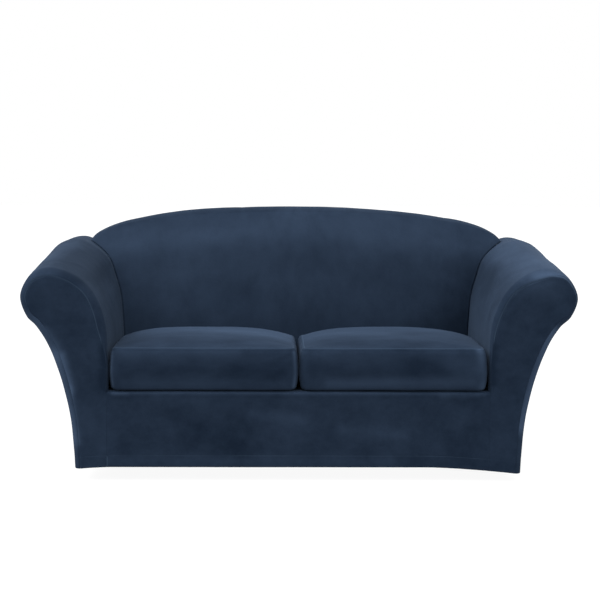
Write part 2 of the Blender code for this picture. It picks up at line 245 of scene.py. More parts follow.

# Strokes of painted highlight and painted shade, paler where the amount is above 0; on the front rail
# some are only paler and darker patches.
# stroke, start (x, y, z), end (x, y, z), half width, amount
PAINTED_LIGHT_STROKES = {
    "arm_left": (
        ("under the roll", (-0.850, -0.006, 0.510), (-0.800, -0.006, 0.420), 0.032, 1.6),
        ("down the edge", (-0.785, -0.006, 0.400), (-0.735, -0.006, 0.140), 0.028, 2.2),
        ("round the roll's front", (-0.85, 0.0, 0.670), (-0.68, 0.0, 0.620), 0.016, 0.15),
        ("along the crest", (-0.86, 0.04, 0.68), (-0.80, 0.50, 0.73), 0.030, 0.35),
        ("painted highlight on the neck", (-0.74, 0.05, 0.66), (-0.70, 0.30, 0.67), 0.014, 0.35),
    ),
    "arm_facing_left": (
        ("under the roll", (-0.815, 0.0, 0.485), (-0.782, 0.0, 0.435), 0.017, 1.2),
        ("shaded beside the cushion", (-0.626, 0.0, 0.43), (-0.624, 0.0, 0.31), 0.018, -0.55),
        ("beside the edge", (-0.765, 0.0, 0.405), (-0.742, 0.0, 0.300), 0.019, 2.4),
        ("down to the hem", (-0.740, 0.0, 0.300), (-0.716, 0.0, 0.130), 0.012, 1.9),
    ),
    "arm_facing_right": (
        ("shaded beside the cushion", (0.626, 0.0, 0.44), (0.624, 0.0, 0.32), 0.016, -0.45),
        ("below the roll's top", (0.76, 0.0, 0.635), (0.84, 0.0, 0.610), 0.040, 0.30),
    ),
    "arm_right": (
        ("down the edge", (0.818, -0.006, 0.485), (0.724, -0.006, 0.180), 0.026, 2.3),
        ("round the roll's front", (0.77, 0.01, 0.672), (0.87, 0.01, 0.655), 0.022, 0.95),
    ),
    "cushion_top_left": (
        ("along the back", (-0.46, 0.36, 0.46), (-0.06, 0.36, 0.46), 0.15, 0.95),
        ("towards the right", (-0.26, 0.25, 0.46), (-0.06, 0.20, 0.46), 0.06, 0.60),
        ("painted shade at the front edge", (-0.56, 0.06, 0.45), (-0.20, 0.05, 0.45), 0.035, -0.15),
    ),
    "cushion_top_right": (
        ("along the back", (0.06, 0.38, 0.46), (0.44, 0.38, 0.46), 0.13, 0.65),
        ("across the middle", (0.05, 0.24, 0.46), (0.28, 0.19, 0.46), 0.05, 0.40),
        ("painted shade at the front edge", (0.10, 0.06, 0.45), (0.55, 0.05, 0.45), 0.035, -0.30),
    ),
    "cushion_band_right": (
        ("round the outer corner", (0.585, 0.005, 0.425), (0.590, 0.010, 0.310), 0.014, 1.8),
        ("shaded middle", (0.05, -0.01, 0.360), (0.46, -0.01, 0.360), 0.026, -0.28),
        ("below the middle", (0.10, -0.01, 0.320), (0.56, -0.01, 0.325), 0.018, 0.62),
        ("below the seam", (0.05, -0.01, 0.418), (0.50, -0.01, 0.418), 0.018, 0.20),
        ("painted light at the right end", (0.49, -0.01, 0.385), (0.56, -0.01, 0.370), 0.032, 0.34),
    ),
    "cushion_band_left": (
        ("shaded middle", (-0.56, -0.01, 0.362), (-0.05, -0.01, 0.358), 0.026, -0.24),
        ("below the seam", (-0.56, -0.01, 0.418), (-0.20, -0.01, 0.418), 0.018, 0.32),
        ("below the middle", (-0.56, -0.01, 0.318), (-0.05, -0.01, 0.318), 0.014, 0.22),
        ("down the inner corner", (-0.014, 0.004, 0.42), (-0.014, 0.004, 0.31), 0.007, 1.5),
        ("down the outer corner", (-0.602, 0.004, 0.42), (-0.600, 0.004, 0.31), 0.006, 1.2),
        ("round the lower edge", (-0.58, -0.008, 0.302), (-0.03, -0.008, 0.302), 0.004, 0.70),
    ),
    "front_rail": (
        ("all along", (-0.60, 0.0, 0.20), (0.60, 0.0, 0.20), 0.160, -0.08),
        ("along the hem", (-0.62, 0.0, 0.066), (0.30, 0.0, 0.066), 0.020, 0.30),
        ("along the seat's edge", (-0.60, 0.0, 0.286), (0.60, 0.0, 0.286), 0.005, 0.40),
        ("painted highlight at the left corner", (-0.60, 0.0, 0.286), (-0.55, 0.0, 0.286), 0.004, 0.60),
        ("painted highlight at the right corner", (0.46, 0.0, 0.275), (0.58, 0.0, 0.280), 0.007, 0.35),
        ("paler patch in the middle", (-0.15, 0.0, 0.22), (0.02, 0.0, 0.20), 0.020, 0.35),
        ("paler patch on the right", (0.14, 0.0, 0.17), (0.34, 0.0, 0.15), 0.022, 0.30),
        ("darker patch", (-0.30, 0.0, 0.16), (-0.20, 0.0, 0.12), 0.050, -0.30),
    ),
}

# ---- how finely the panels are cut, and how their cloth behaves ------------------------------

EDGE_ROWS = 10  # rows round the turn at an arm's edge
STATION_COLUMNS = 8  # columns of an arm for each station
BACK_STEPS = 150  # steps across the inside back
CUSHION_STEP = 0.006  # along a cushion's outline
CORNER_STEPS = 12
BAND_ROWS = 6  # rows of a cushion's band for each of its lines
BAND_SEAM_ROWS = (0.04, 0.1)  # rows close to its top seam, in lines from it
FACING_SIDE_STEPS = 45
FACING_HEM_STEPS = 17
RAIL_STEPS = 218
RAIL_MARGIN = 0.005  # the rail's columns at its ends lie closer together over this width
RAIL_END_COLUMNS = (0.0, 0.0004, 0.0012, 0.0026)
RAIL_ROWS = (36, 8, 10)  # up its front, round its turn and along the deck
DECK_SIDE_STEPS = 59
REAR_HEM_STEPS = 119
FACING_NET = 0.008
DECK_NET = 0.016
REAR_NET = 0.014
TOP_NET = 0.009
RING_INSETS = (0.0004, 0.0012, 0.0026, 0.0044, 0.0068, 0.0100)  # rings of points inside an edge
LEAST_STRETCH = 0.5  # keeps a ring from running far out at a sharp corner
MERGE = 1e-6  # points nearer than this are one

SEAM_REACH = 0.0038  # width of the dip beside a seam
RIM_PLACE = 0.0055  # from a seam to the top of the rim beside it
RIM_WIDTH = 0.0030
SEAM_HOLD = 0.04  # how far from a seam it keeps the cloth from its folds
FOLD_FADE = 0.7  # 1 fades a fold out like a sine wave, and less holds it for longer
SLOW_WAVE = (5.5, 0.65)  # waves of unevenness a metre, and their share
QUICK_WAVE = (17, 0.35)
WAVE_SHIFT = (7.3, 3.1, 5.7)  # how far the waves of the next seed lie from these
GATHERS_A_METRE = 70
GATHERS_END = 1e-5  # gathers that stand out less than this are left out

HEM_FOLD_STEPS = 6
HEM_FOLD_SLACK = 0.0002
HEM_ALLOWANCE_ROWS = (0.3, 0.65, 0.97)  # heights of its rows, as shares of the hem band
TUCK_DROPS = (0.0006, 0.0034)  # how far the seam allowance lies behind the cloth, and at its edge

LINE_OFF = 0.01  # added to the distance to a line where it doesn't show
LINE_END = 0.004  # height above the hem band over which the rail's line ends
ARM_LINE = (1.0, 9.0)  # stations between which an arm's front seam shows its painted highlight
ARM_LINE_FADES = (0.8, 1.5)  # stations over which it comes and goes

# ---- curves and small sums ------------------------------------------------------------------


def ease(t):
    """Rises smoothly from 0 to 1 as t does, and stays there."""
    t = np.clip(t, 0.0, 1.0)
    return t * t * (3 - 2 * t)


def on_curve(points, t):
    """A smooth curve through the points, read at each t, where t counts points from 0."""
    points, t = np.asarray(points, float), np.asarray(t, float)
    ends = np.vstack((2 * points[0] - points[1], points, 2 * points[-1] - points[-2]))
    i = np.clip(t.astype(int), 0, len(points) - 2)
    f = (t - i)[..., None]
    a, b, c, d = (ends[i + k] for k in range(4))
    bend, twist = 2 * a - 5 * b + 4 * c - d, 3 * b - a - 3 * c + d
    return 0.5 * (2 * b + (c - a) * f + bend * f**2 + twist * f**3)


def steps(start, end, count):
    """Evenly spaced readings from start to end, both of them included."""
    return np.linspace(start, end, count + 1)


def run_length(points):
    """Distance walked along the rows of points, which are the second axis from the end."""
    hops = np.linalg.norm(np.diff(points, axis=-2), axis=-1)
    return np.concatenate((np.zeros_like(hops[..., :1]), np.cumsum(hops, axis=-1)), axis=-1)


def distance_to_line(points, line):
    """Distance of each point to a line of straight runs."""
    points, line = np.asarray(points, float), np.asarray(line, float)
    nearest = np.full(len(points), np.inf)
    for start, end in zip(line[:-1], line[1:]):
        along = end - start
        share = np.clip((points - start) @ along / max(along @ along, TINY), 0, 1)
        nearest = np.minimum(nearest, np.linalg.norm(points - start - share[:, None] * along, axis=1))
    return nearest


# ---- the shapes of the panels ---------------------------------------------------------------


def hem_height(x, y):
    """Height of the hem at a place, lower near the corners where it hangs down."""
    z = np.full(np.broadcast(x, y).shape, HEM)
    for _, corner_x, corner_y, drop, reach in HEM_DROPS:
        near = np.maximum(0.0, 1 - np.hypot(x - corner_x, y - corner_y) / reach)
        z = z - drop * near**1.5
    return z


def turn_width(side, t):
    """How far in the seam with the facing lies at station t."""
    return on_curve([(row[6] if side > 0 else row[5],) for row in ARM_STATIONS], t)[..., 0]


ARM_FRONT = np.array([row[1:3] for row in ARM_STATIONS])
ARM_REAR = np.array([row[3:5] for row in ARM_STATIONS])


def arm_row(side, t, y, inset=0.0):
    """Points of an arm's cloth at the stations t and depths y, moved in from its outline."""
    t = np.asarray(t, float)
    y = np.broadcast_to(np.asarray(y, float), t.shape)
    share = np.clip((y - EDGE) / (BACK_STATIONS[0][1] - EDGE), 0, 1)[:, None]

    def outline(station):
        return on_curve(ARM_FRONT, station) * (1 - share) + on_curve(ARM_REAR, station) * share

    here = outline(t)
    above = outline(np.maximum(t - NEXT_STATION, 0))
    along = outline(np.minimum(t + NEXT_STATION, HEM_STATION)) - above
    along /= np.linalg.norm(along, axis=1)[:, None]
    hem_share = ease((t - HEM_STATION) / HEM_STATIONS + 1)
    on_roll = np.exp(-(((t - ROLL_STATION) / ROLL_REACH) ** 2))
    swell = ROLL_SWELL[side] * on_roll * (1 - share[:, 0])
    x = here[:, 0] + swell + inset * along[:, 1]
    z = here[:, 1] - inset * along[:, 0] * (1 - hem_share)
    z = z + hem_share * (hem_height(side * x, y) - HEM)
    return np.stack((side * x, y, z), axis=1)


def turn_depth(side, t):
    """How deep the turn round the front edge is at station t."""
    deeper, station, reach = DEEP_TURN[side]
    return EDGE * (1 + deeper * np.exp(-(((t - station) / reach) ** 2)))


def turned_edge(crispness):
    """(share of the depth, share of the inset) round the turn, from the seam outwards."""
    start = math.radians(crispness)
    angles = steps(start, math.pi / 2, EDGE_ROWS)
    depths = (math.cos(start) - np.cos(angles)) / math.cos(start)
    return list(zip(depths, (1 - np.sin(angles)) / (1 - math.sin(start))))


def face_depth(t):
    """How deep the inside back lies at an arm station."""
    return on_curve([row[1:] for row in BACK_STATIONS], np.minimum(t, SEAM_STATION))[..., 0]


# Stations at which an arm has a column of points, closer together beside its seam and its hem.
ARM_COLUMNS = np.unique(np.concatenate((
    steps(0, HEM_STATION, STATION_COLUMNS * HEM_STATION),
    SEAM_STATION + np.array((0.02, 0.05, 0.09)),
    HEM_STATION - np.array((0.03, 0.08)),
)))
# Shares of the depth from the front turn to the inside back, closer together beside the back.
BODY_SHARES = np.concatenate((steps(0, 0.96, 46)[1:], (0.975, 0.986, 0.993, 0.997, 1.0)))
# Depths of the rows that run on over the roll behind the inside back's seam.
ROLL_DEPTHS = np.concatenate(((0.7015, 0.704, 0.709), steps(0.715, DEPTH - EDGE, 12)[:-1]))
FACE_ROW = EDGE_ROWS + len(BODY_SHARES) - 1  # the row of an arm along the inside back


def arm_columns(side):
    """The cloth of an arm as columns of points, one for each station, from front to back."""
    body = []
    turn = turned_edge(CRISPNESS[side])
    deep = turn_depth(side, ARM_COLUMNS)
    for depth, inset in turn:
        body.append(arm_row(side, ARM_COLUMNS, deep * depth, inset * turn_width(side, ARM_COLUMNS)))
    ends = face_depth(ARM_COLUMNS)
    for share in BODY_SHARES:
        body.append(arm_row(side, ARM_COLUMNS, deep + (ends - deep) * share))
    over = [arm_row(side, ARM_COLUMNS, y) for y in ROLL_DEPTHS]
    for depth, inset in reversed(turn):
        over.append(arm_row(side, ARM_COLUMNS, DEPTH - EDGE * depth, inset * EDGE))
    body, over = np.array(body).swapaxes(0, 1), np.array(over).swapaxes(0, 1)
    return [
        np.vstack((body[k], over[k])) if t >= SEAM_STATION else body[k]
        for k, t in enumerate(ARM_COLUMNS)
    ]


def side_seam():
    """The right seam between arm and inside back, from the deck up and over to the rear."""
    columns = arm_columns(1)
    climb = [column[FACE_ROW] for column, t in zip(columns, ARM_COLUMNS) if t <= SEAM_STATION]
    corner = int(np.searchsorted(ARM_COLUMNS, SEAM_STATION))
    return np.vstack((climb, columns[corner][FACE_ROW + 1 :])), len(climb)


def back_surface():
    """Rows of the inside back from the deck over the arched top to the rear, and their seam."""
    seam, climb = side_seam()
    t = ARM_COLUMNS[ARM_COLUMNS <= SEAM_STATION]
    rises = np.empty(len(seam))
    rises[:climb] = on_curve([row[1:] for row in BACK_STATIONS], t)[:, 1]
    rises[climb:] = CREST_RISE * np.sqrt(1 - ((seam[climb:, 1] - CREST_DEPTH) / CREST_SPAN) ** 2)
    angles = steps(-math.pi / 2, math.pi / 2, BACK_STEPS)
    half = seam[:, 0] - SEAM_GAP
    x = half[:, None] * np.sin(angles)
    y = np.repeat(seam[:, 1:2], len(angles), axis=1)
    z = seam[:, 2:3] + rises[:, None] * np.cos(angles)
    return np.stack((x, y, z), axis=-1)


def cushion_outline(side, offset):
    """A cushion's outline seen from above, moved out by offset, anticlockwise from the front."""
    half_x = CUSHION_HALF_WIDTH + offset
    half_y = (CUSHION_BACK - CUSHION_FRONT) / 2 + offset
    centre_y = (CUSHION_FRONT + CUSHION_BACK) / 2
    radius = max(CUSHION_CORNER + offset, LEAST_CORNER)
    straight = (half_y - radius, half_x - radius)
    points = []
    for corner, (sign_x, sign_y) in enumerate(((1, -1), (1, 1), (-1, 1), (-1, -1))):
        for angle in steps(0, math.pi / 2, CORNER_STEPS) + math.pi / 2 * (corner - 1):
            x = sign_x * (half_x - radius) + radius * math.cos(angle)
            y = sign_y * (half_y - radius) + radius * math.sin(angle)
            points.append((x, y))
        run = 2 * straight[corner % 2]
        count = int(2 * CUSHION_HALF_WIDTH / CUSHION_STEP)
        heading = math.pi / 2 * (corner + 1)
        for share in steps(0, 1, count)[1:-1]:
            points.append((x + run * share * math.cos(heading), y + run * share * math.sin(heading)))
    return np.array(points) + (side * CUSHION_X, centre_y)


def corner_sag(side, points):
    """How far a cushion sinks at each point, near its rear corners."""
    sag = np.zeros(len(points))
    for end in (-1, 1):
        corner = (side * CUSHION_X + end * CUSHION_HALF_WIDTH, CUSHION_BACK)
        away = np.linalg.norm(points[:, :2] - corner, axis=1)
        sag += CORNER_SAG * np.exp(-((away / CORNER_REACH) ** 2))
    return sag


# ---- cloth as meshes ------------------------------------------------------------------------


class Cloth:
    """A panel of cloth: its points and faces, and how far each point is from seams and hem."""

    FAR = 1.0  # further than any seam or hem has an effect

    def __init__(self, points, faces):
        self.points = np.asarray(points, float)
        self.faces = [tuple(int(k) for k in face) for face in faces]
        self.seam = np.full(len(self.points), self.FAR)  # to any seam, which draws the cloth in
        self.join = np.full(len(self.points), self.FAR)  # to a seam that lies flat
        self.line = np.full(len(self.points), self.FAR)  # to a seam with a painted highlight along it
        self.hem = np.full(len(self.points), self.FAR)
        self.nap = np.zeros(len(self.points))  # painted light and shade, paler above 0 and darker below
        self.flat = self.points[:, :2].copy()  # place on the flat cloth, for the weave

    def flip(self):
        """Turns the cloth's right side to the other side."""
        self.faces = [face[::-1] for face in self.faces]

    def normals(self):
        """Unit normals at the points, each the sum over the faces that meet there."""
        total = np.zeros_like(self.points)
        for size in {len(face) for face in self.faces}:
            index = np.array([face for face in self.faces if len(face) == size])
            corners = self.points[index]
            if size == 4:
                normal = np.cross(corners[:, 2] - corners[:, 0], corners[:, 3] - corners[:, 1])
            else:
                normal = np.cross(corners[:, 1] - corners[:, 0], corners[:, 2] - corners[:, 0])
            for k in range(size):
                np.add.at(total, index[:, k], normal)
        return total / np.maximum(np.linalg.norm(total, axis=1), TINY)[:, None]

    def runs_along(self, edge):
        """Whether an edge runs the same way round as the faces beside it."""
        pairs = {pair for face in self.faces for pair in zip(face, face[1:] + face[:1])}
        return (edge[0], edge[1]) in pairs

    def add_rows(self, edge, rows, flats, hem):
        """Sews rows of new points on along an edge, which is a list of point numbers."""
        same_way = self.runs_along(edge)
        before = edge
        for row, flat in zip(rows, flats):
            start = len(self.points)
            self.points = np.vstack((self.points, row))
            self.flat = np.vstack((self.flat, flat))
            self.seam = np.append(self.seam, self.seam[edge])
            self.line = np.append(self.line, np.full(len(edge), self.FAR))
            self.hem = np.append(self.hem, np.full(len(edge), hem))
            self.nap = np.append(self.nap, self.nap[edge])
            after = list(range(start, start + len(edge)))
            for k in range(len(edge) - 1):
                face = (before[k], before[k + 1], after[k + 1], after[k])
                self.faces.append(face[::-1] if same_way else face)
            before = after


def woven(columns, closed=False):
    """Cloth woven between columns of points. Columns at the start may be shorter."""
    starts = np.cumsum([0] + [len(column) for column in columns])
    faces = []
    for n in range(len(columns) - 1):
        shorter = min(len(columns[n]), len(columns[n + 1]))
        for k in range(shorter if closed else shorter - 1):
            after = (k + 1) % shorter
            faces.append((starts[n] + k, starts[n] + after, starts[n + 1] + after, starts[n + 1] + k))
    return Cloth(np.vstack(columns), faces)


def moved_in(outline, inset):
    """A closed anticlockwise outline in a plane, moved in by inset."""
    before, after = np.roll(outline, 1, axis=0), np.roll(outline, -1, axis=0)
    along_in = outline - before
    along_out = after - outline
    along_in /= np.maximum(np.linalg.norm(along_in, axis=1), TINY)[:, None]
    along_out /= np.maximum(np.linalg.norm(along_out, axis=1), TINY)[:, None]
    middle = along_in + along_out
    middle /= np.maximum(np.linalg.norm(middle, axis=1), TINY)[:, None]
    stretch = 1 / np.maximum(np.sum(middle * along_out, axis=1), LEAST_STRETCH)
    normal = np.stack((-middle[:, 1], middle[:, 0]), axis=1)
    return outline + inset * stretch[:, None] * normal


def filled(outline, spacing):
    """Points and faces that fill a closed anticlockwise outline, finer beside its edge."""
    closed = np.vstack((outline, outline[:1]))
    layers = [outline]
    for inset in RING_INSETS:
        ring = moved_in(outline, inset)
        layers.append(ring[inside(ring, outline) & (distance_to_line(ring, closed) > 0.95 * inset)])
    low, high = outline.min(axis=0), outline.max(axis=0)
    xs = np.arange(low[0], high[0], spacing)
    ys = np.arange(low[1], high[1], spacing * math.sqrt(0.75))
    net = np.array([(x + spacing / 2 * (n % 2), y) for n, y in enumerate(ys) for x in xs])
    net = net[inside(net, outline)]
    layers.append(net[distance_to_line(net, closed) > RING_INSETS[-1] + 0.5 * spacing])
    points = [Vector(point) for point in np.vstack(layers)]
    edge = list(range(len(outline)))
    inside_only = 1
    found, _, triangles, _, _, _ = delaunay_2d_cdt(points, [], [edge], inside_only, MERGE)
    plane = np.array([tuple(point) for point in found])
    faces = []
    for a, b, c in triangles:
        turn = np.cross(plane[b] - plane[a], plane[c] - plane[a])
        faces.append((a, b, c) if turn > 0 else (a, c, b))
    return plane, faces


def inside(points, outline):
    """Which of the points lie inside a closed outline."""
    x, y = points[:, 0], points[:, 1]
    crossed = np.zeros(len(points), bool)
    for (x0, y0), (x1, y1) in zip(outline, np.roll(outline, -1, axis=0)):
        if y0 != y1:
            spans = (y0 > y) != (y1 > y)
            crossed ^= spans & (x < (x1 - x0) * (y - y0) / (y1 - y0) + x0)
    return crossed


def nearness(points, start, end, width):
    """1 on a line from start to end, falling off beside it, and each point's share along it."""
    start, end = np.array(start), np.array(end)
    along = end - start
    share = np.clip((points - start) @ along / (along @ along), 0, 1)
    off_line = points - start - share[:, None] * along
    return np.exp(-((np.linalg.norm(off_line, axis=1) / width) ** 2)), share


def fold_offsets(name, points):
    """How far each point stands out on the folds of its panel."""
    offset = np.zeros(len(points))
    for _, start, end, width, height in FOLDS.get(name, ()):
        near, share = nearness(points, start, end, width)
        offset += height * near * np.sin(np.pi * share) ** FOLD_FADE
    return offset


def unevenness(points, seed):
    """A low, slow unevenness such as stretched cloth has over padding, from -1 to 1."""
    shift = Vector([seed * step for step in WAVE_SHIFT])
    waves = [[share * noise.noise(Vector(point) * pace + shift) for point in points]
             for pace, share in (SLOW_WAVE, QUICK_WAVE)]
    return np.sum(waves, axis=0)


def pile_patches_and_painted_light(name, points):
    """Painted light and shade at each point, with a few paler and darker patches, summed over the
    panel's patches and strokes.
    """
    lie = np.zeros(len(points))
    for _, centre, reach, amount in PAINTED_LIGHT_PATCHES.get(name, ()):
        away = (points - np.array(centre)) / np.array(reach)
        lie += amount * np.exp(-np.sum(away * away, axis=1))
    for _, start, end, width, amount in PAINTED_LIGHT_STROKES.get(name, ()):
        lie += amount * nearness(points, start, end, width)[0]
    return lie


def gathers(cloth, sizes):
    """How far each point stands out in the small gathers along the hem's elastic."""
    depth = sizes.gathers * np.exp(-((cloth.hem / sizes.hem_band) ** 2))
    wave = [noise.noise(Vector((x, y, 0.0)) * GATHERS_A_METRE) if d > GATHERS_END else 0.0
            for (x, y, _), d in zip(cloth.points, depth)]
    return depth * wave


def shape_cloth(cloth, name, seed, sizes):
    """Draws the cloth in along its seams, adds its painted light and shade, and puts in its folds and
    unevenness.
    """
    cloth.nap += pile_patches_and_painted_light(name, cloth.points)
    dip = -sizes.seam_dip * (1 - ease(cloth.seam / SEAM_REACH))
    rim = sizes.seam_rim * np.exp(-(((cloth.seam - RIM_PLACE) / RIM_WIDTH) ** 2))
    free = ease(cloth.seam / SEAM_HOLD) * ease(cloth.join / SEAM_HOLD)
    swell = sizes.unevenness * unevenness(cloth.points, seed)
    offset = dip + rim + free * (swell + fold_offsets(name, cloth.points)) + gathers(cloth, sizes)
    cloth.points = cloth.points + offset[:, None] * cloth.normals()


def turn_up(cloth, edge, sizes):
    """Turns the hem up inside along an edge, in a narrow round fold and a flat allowance."""
    edge = list(edge)
    base, outward = cloth.points[edge], cloth.normals()[edge]
    outward[:, 2] = 0
    outward /= np.linalg.norm(outward, axis=1)[:, None]
    radius = sizes.cloth + HEM_FOLD_SLACK
    up = np.array((0.0, 0.0, 1.0))
    rows, flats = [], []
    for angle in steps(0, math.pi, HEM_FOLD_STEPS)[1:]:
        rows.append(base - outward * radius * (1 - math.cos(angle)) - up * radius * math.sin(angle))
        flats.append(cloth.flat[edge] - (0, radius * angle))
    folded = rows[-1]
    for share in HEM_ALLOWANCE_ROWS:
        height = share * sizes.hem_band
        rows.append(folded + up * height)
        flats.append(cloth.flat[edge] - (0, math.pi * radius + height))
    cloth.add_rows(edge, rows, flats, hem=0.0)


def tuck_under(cloth, edge, sizes):
    """Tucks the seam allowance along an edge in behind the panel that is sewn on there."""
    edge = list(edge)
    base, normal = cloth.points[edge], cloth.normals()[edge]
    outward = np.cross(np.gradient(base, axis=0), normal)
    outward /= np.maximum(np.linalg.norm(outward, axis=1), TINY)[:, None]
    if not cloth.runs_along(edge):
        outward = -outward
    behind, behind_edge = (base - normal * (sizes.cloth + drop) for drop in TUCK_DROPS)
    rows = [behind, behind_edge + outward * sizes.allowance]
    cloth.add_rows(edge, rows, [cloth.flat[edge]] * 2, hem=Cloth.FAR)


def finish_cloth(cloth, name, material, sizes):
    """Makes the panel's mesh and gives it its thickness."""
    mesh = bpy.data.meshes.new(name)
    mesh.from_pydata((cloth.points + FLOOR).tolist(), [], cloth.faces)
    mesh.validate()
    mesh.shade_smooth()
    for label, values in (("line", cloth.line), ("hem", cloth.hem), ("nap", cloth.nap)):
        attribute = mesh.attributes.new(label, "FLOAT", "POINT")
        attribute.data.foreach_set("value", values.astype(np.float32))
    corners = np.empty(len(mesh.loops), np.int32)
    mesh.loops.foreach_get("vertex_index", corners)
    places = cloth.flat[corners].astype(np.float32)
    mesh.uv_layers.new(name="cloth").data.foreach_set("uv", places.ravel())
    mesh.materials.append(material)
    piece = bpy.data.objects.new(f"{name}_cloth", mesh)
    bpy.context.scene.collection.objects.link(piece)
    wall = piece.modifiers.new("thickness", "SOLIDIFY")
    wall.thickness = sizes.cloth
    wall.offset = -1
    wall.use_even_offset = True
    wall.use_quality_normals = True
    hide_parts(name)
    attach(piece, "root")


# ---- velvet ---------------------------------------------------------------------------------

# noise          scale  detail  roughness
NOISES = {
    "patches":  (6.0, 3.0, 0.6),
    "strokes":  (9.0, 4.0, 0.6),
    "scuffs":   (38.0, 2.0, 0.5),
    "clumps":   (130.0, 2.0, 0.5),
    "pile":     (1100.0, 2.0, 0.6),
    "tension":  (7.0, 2.0, 0.55),
    "floor":    (3.0, 2.0, 0.55),
}

# How much each noise sways the lie of the pile, and how far it raises the surface, in metres.
LIE_SHARES = {"patches": 0.9, "strokes": 0.9, "scuffs": 0.35, "clumps": 0.25, "pile": 0.25}
PATCH_HEIGHT = 0.0016
CLUMP_HEIGHT = 0.00022
PILE_HEIGHT = 0.00008
THREAD_HEIGHT = 0.0006
CHANNEL_DEPTH = 0.0009

PILE_LEAN = 0.44  # how far the pile lies over everywhere
PILE_CONTRAST = 0.35  # how much paler it gets as it lies over, and as painted light lifts it
MATT_PILE = 0.92  # roughness where it stands
LAIN_GLOSS = 0.20  # how much less it is where the pile lies over
SHEEN_ROUGHNESS = 0.42
SPECULAR = 0.02

# Painted highlights along seams, and stitches: where across them they are strongest, and how far they
# reach, in metres.
SEAM_PLACE = 0.0012
SEAM_WIDTH = 0.0026
THREAD_WIDTH = 0.0009
CHANNEL_WIDTH = 0.0024
STITCH_MIDDLE = 0.5
STITCH_HALF = 0.42  # half a stitch's length, as a share of the stitch and its gap
TENSION = (2.6, 0.8)  # how sharply the thread comes and goes, and how much of it is hidden
# strength of the painted highlight along seams
SEAM_HIGHLIGHT = 0.35
THREAD_PALENESS = 0.25
CHANNEL_PALENESS = 0.12

# Outputs and inputs by number, on nodes where several have the same name or none is the first.
OBJECT_OUTPUT = 3
FACTOR_OUTPUT = 2
MIX_SHARE, MIX_FIRST, MIX_SECOND, MIX_COLOUR = 0, 6, 7, 2


class Reading:
    """An output of a shader node. Sums on it add Math nodes."""

    def __init__(self, tree, socket):
        self.tree, self.socket = tree, socket

    def _math(self, operation, *terms):
        """A Math node on the terms, which are readings or numbers."""
        return add_node(self.tree, "ShaderNodeMath", {"operation": operation}, dict(enumerate(terms)))

    def __add__(self, other):
        return self._math("ADD", self, other)

    def __radd__(self, other):
        return self._math("ADD", other, self)

    def __sub__(self, other):
        return self._math("SUBTRACT", self, other)

    def __rsub__(self, other):
        return self._math("SUBTRACT", other, self)

    def __mul__(self, other):
        return self._math("MULTIPLY", self, other)

    def __rmul__(self, other):
        return self._math("MULTIPLY", other, self)

    def __truediv__(self, other):
        return self._math("DIVIDE", self, other)

    def __rtruediv__(self, other):
        return self._math("DIVIDE", other, self)

    def fraction(self):
        """What is left above the whole number."""
        return self._math("FRACT", self)

    def clipped(self):
        """The same reading, kept from 0 to 1."""
        return add_node(self.tree, "ShaderNodeClamp", {}, {"Value": self})


def add_node(tree, kind, settings, sockets, output=0):
    """Adds any shader node: its settings first, then the values or links of its sockets."""
    node = tree.nodes.new(kind)
    for name, value in settings.items():
        setattr(node, name, value)
    for name, value in sockets.items():
        if isinstance(value, Reading):
            tree.links.new(value.socket, node.inputs[name])
        else:
            node.inputs[name].default_value = value
    return Reading(tree, node.outputs[output])


def hump(distance, centre, width):
    """1 where a distance is at the centre, falling to 0 one width away."""
    off = distance - centre
    return (1 - (off * off) / width**2).clipped()


def speckle(tree, place, name):
    """The noise of that name, from 0 to 1, at a place."""
    scale, detail, roughness = NOISES[name]
    sockets = {"Vector": place, "Scale": scale, "Detail": detail, "Roughness": roughness}
    return add_node(tree, "ShaderNodeTexNoise", {}, sockets)


def object_place(tree):
    """The place on the piece, in metres."""
    return add_node(tree, "ShaderNodeTexCoord", {}, {}, output=OBJECT_OUTPUT)


def on_cloth(tree, name):
    """What the cloth's attribute of that name says."""
    settings = {"attribute_name": name}
    return add_node(tree, "ShaderNodeAttribute", settings, {}, output=FACTOR_OUTPUT)


def mixed(tree, share, first, second):
    """A colour between two colours."""
    sockets = {MIX_SHARE: share, MIX_FIRST: first, MIX_SECOND: second}
    return add_node(tree, "ShaderNodeMix", {"data_type": "RGBA"}, sockets, output=MIX_COLOUR)


def pile_tone_and_painted_light(tree, noises):
    """The pile's tone from 0 to 1: its random noises, and the painted light and shade of its patches
    and strokes.
    """
    # the nap attribute holds the painted light and shade
    lie = on_cloth(tree, "nap") + PILE_LEAN
    for name, share in LIE_SHARES.items():
        lie = lie + (noises[name] - 0.5) * share
    return (lie * PILE_CONTRAST).clipped()


def hem_stitches(tree, cloth, place, sizes):
    """The thread of the hem's stitches, and the channel that it draws into the cloth."""
    run = add_node(tree, "ShaderNodeSeparateXYZ", {}, {"Vector": cloth})
    hem = on_cloth(tree, "hem")
    stitch = hump((run / sizes.stitch).fraction(), STITCH_MIDDLE, STITCH_HALF)
    sharpness, hidden = TENSION
    tension = (speckle(tree, place, "tension") * sharpness - hidden).clipped()
    thread = hump(hem, sizes.hem_band, THREAD_WIDTH) * stitch * tension
    return thread, hump(hem, sizes.hem_band, CHANNEL_WIDTH) * tension


